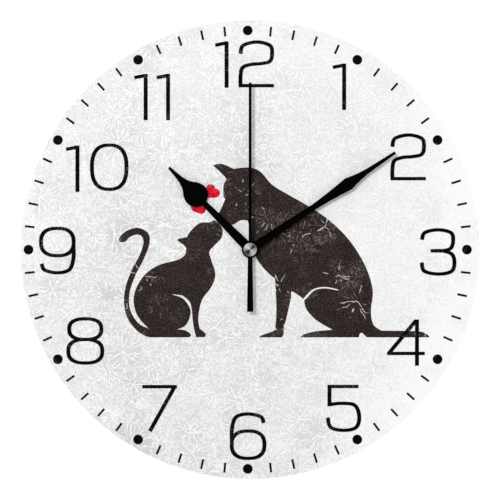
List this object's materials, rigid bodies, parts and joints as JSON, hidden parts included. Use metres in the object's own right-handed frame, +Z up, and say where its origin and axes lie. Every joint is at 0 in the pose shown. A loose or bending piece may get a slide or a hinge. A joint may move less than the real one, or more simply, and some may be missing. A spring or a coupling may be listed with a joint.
{
  "type": "printed dial wall clock",
  "caption": "Frameless round wall clock with a printed cat-and-dog dial, three centre hands and a battery quartz movement with a keyhole hanger behind.",
  "frame": {"origin": "on the axis of the hands, at the flat back face of the movement case that rests on the wall", "axes": "+Z up towards 12 o'clock, the dial faces -Y, +X to the right (3 o'clock) as the clock is read"},
  "size_m": [0.25, 0.0285, 0.25],
  "materials": {
    "dial_face": "satin printed face, light grey with white veins",
    "fibre_board": "plain wood-fibre board",
    "dial_ink": "black screen-printed ink",
    "animal_ink": "very dark brown printed ink with pale scratches",
    "heart_ink": "red printed ink",
    "hand_paint": "satin black paint on stamped aluminium",
    "spun_metal": "spun finish with a fan-shaped highlight",
    "black_rubber": "matte",
    "brass": "turned, bright",
    "case_plastic": "finely textured moulded black",
    "white_plastic": "moulded acetal",
    "steel": "bright",
    "magnet": "dark sintered",
    "copper_wire": "enamelled copper wire",
    "circuit_green": "green solder mask",
    "resin": "black potting resin",
    "cell_label": "printed sleeve, no text"
  },
  "bodies": {
    "clock": {"face_sheet": "dial_face", "backing_board": "fibre_board", "numeral_print": "dial_ink", "hour_dot_print": "dial_ink", "minute_line_print": "dial_ink", "cat_print": "animal_ink", "dog_print": "animal_ink", "heart_print": "heart_ink", "gasket": "black_rubber", "washer": "brass", "hex_nut": "brass", "case_front": "case_plastic", "case_back": "case_plastic", "hanger_plate": "case_plastic", "gear_bridge": "white_plastic", "circuit_board": "circuit_green", "ic_blob": "resin", "quartz_crystal": "steel", "coil_bobbin": "white_plastic", "coil_winding": "copper_wire", "coil_core": "steel", "stator": "steel", "positive_contact": "steel", "negative_contact": "steel"},
    "second_group": {"second_hand": "hand_paint", "hub_cap": "spun_metal", "second_arbor": "steel", "second_wheel": "white_plastic"},
    "rotor_group": {"rotor_pinion": "white_plastic", "rotor_magnet": "magnet"},
    "intermediate_group": {"intermediate_wheel": "white_plastic"},
    "third_group": {"third_wheel": "white_plastic"},
    "centre_group": {"centre_wheel": "white_plastic"},
    "minute_group": {"minute_hand": "hand_paint", "minute_tube": "brass", "clutch_spring": "brass"},
    "hour_group": {"hour_hand": "hand_paint", "hour_wheel": "white_plastic"},
    "knob_group": {"minute_wheel": "white_plastic", "setting_knob": "case_plastic"},
    "battery_group": {"battery_cell": "steel", "battery_jacket": "cell_label"}
  },
  "joints": [
    {"name": "second_spin", "type": "hinge", "parent": "clock", "child": "second_group", "pos_m": [0, -0.0108, 0], "axis": [0, 1, 0], "continuous": true},
    {"name": "rotor_spin", "type": "hinge", "parent": "clock", "child": "rotor_group", "pos_m": [0.00506, -0.0108, 0.01354], "axis": [0, 1, 0], "continuous": true},
    {"name": "intermediate_spin", "type": "hinge", "parent": "clock", "child": "intermediate_group", "pos_m": [0.00384, -0.0108, 0.00665], "axis": [0, 1, 0], "continuous": true},
    {"name": "third_spin", "type": "hinge", "parent": "clock", "child": "third_group", "pos_m": [-0.01064, -0.0108, 0.00188], "axis": [0, 1, 0], "continuous": true},
    {"name": "centre_spin", "type": "hinge", "parent": "clock", "child": "centre_group", "pos_m": [0, -0.0108, 0], "axis": [0, 1, 0], "continuous": true},
    {"name": "minute_spin", "type": "hinge", "parent": "clock", "child": "minute_group", "pos_m": [0, -0.0108, 0], "axis": [0, 1, 0], "continuous": true},
    {"name": "hour_spin", "type": "hinge", "parent": "clock", "child": "hour_group", "pos_m": [0, -0.0108, 0], "axis": [0, 1, 0], "continuous": true},
    {"name": "knob_spin", "type": "hinge", "parent": "clock", "child": "knob_group", "pos_m": [0.0115, -0.0108, 0], "axis": [0, 1, 0], "continuous": true},
    {"name": "battery_slide", "type": "slide", "parent": "clock", "child": "battery_group", "axis": [0, 1, 0], "range_m": [0, 0.02]}
  ],
  "couplings": [
    {"joint": "rotor_spin", "follows": "second_spin", "ratio": 30},
    {"joint": "intermediate_spin", "follows": "second_spin", "ratio": -5},
    {"joint": "third_spin", "follows": "second_spin", "ratio": -0.13333},
    {"joint": "centre_spin", "follows": "second_spin", "ratio": 0.016667},
    {"joint": "hour_spin", "follows": "minute_spin", "ratio": 0.083333},
    {"joint": "knob_spin", "follows": "minute_spin", "ratio": -0.33333}
  ]
}
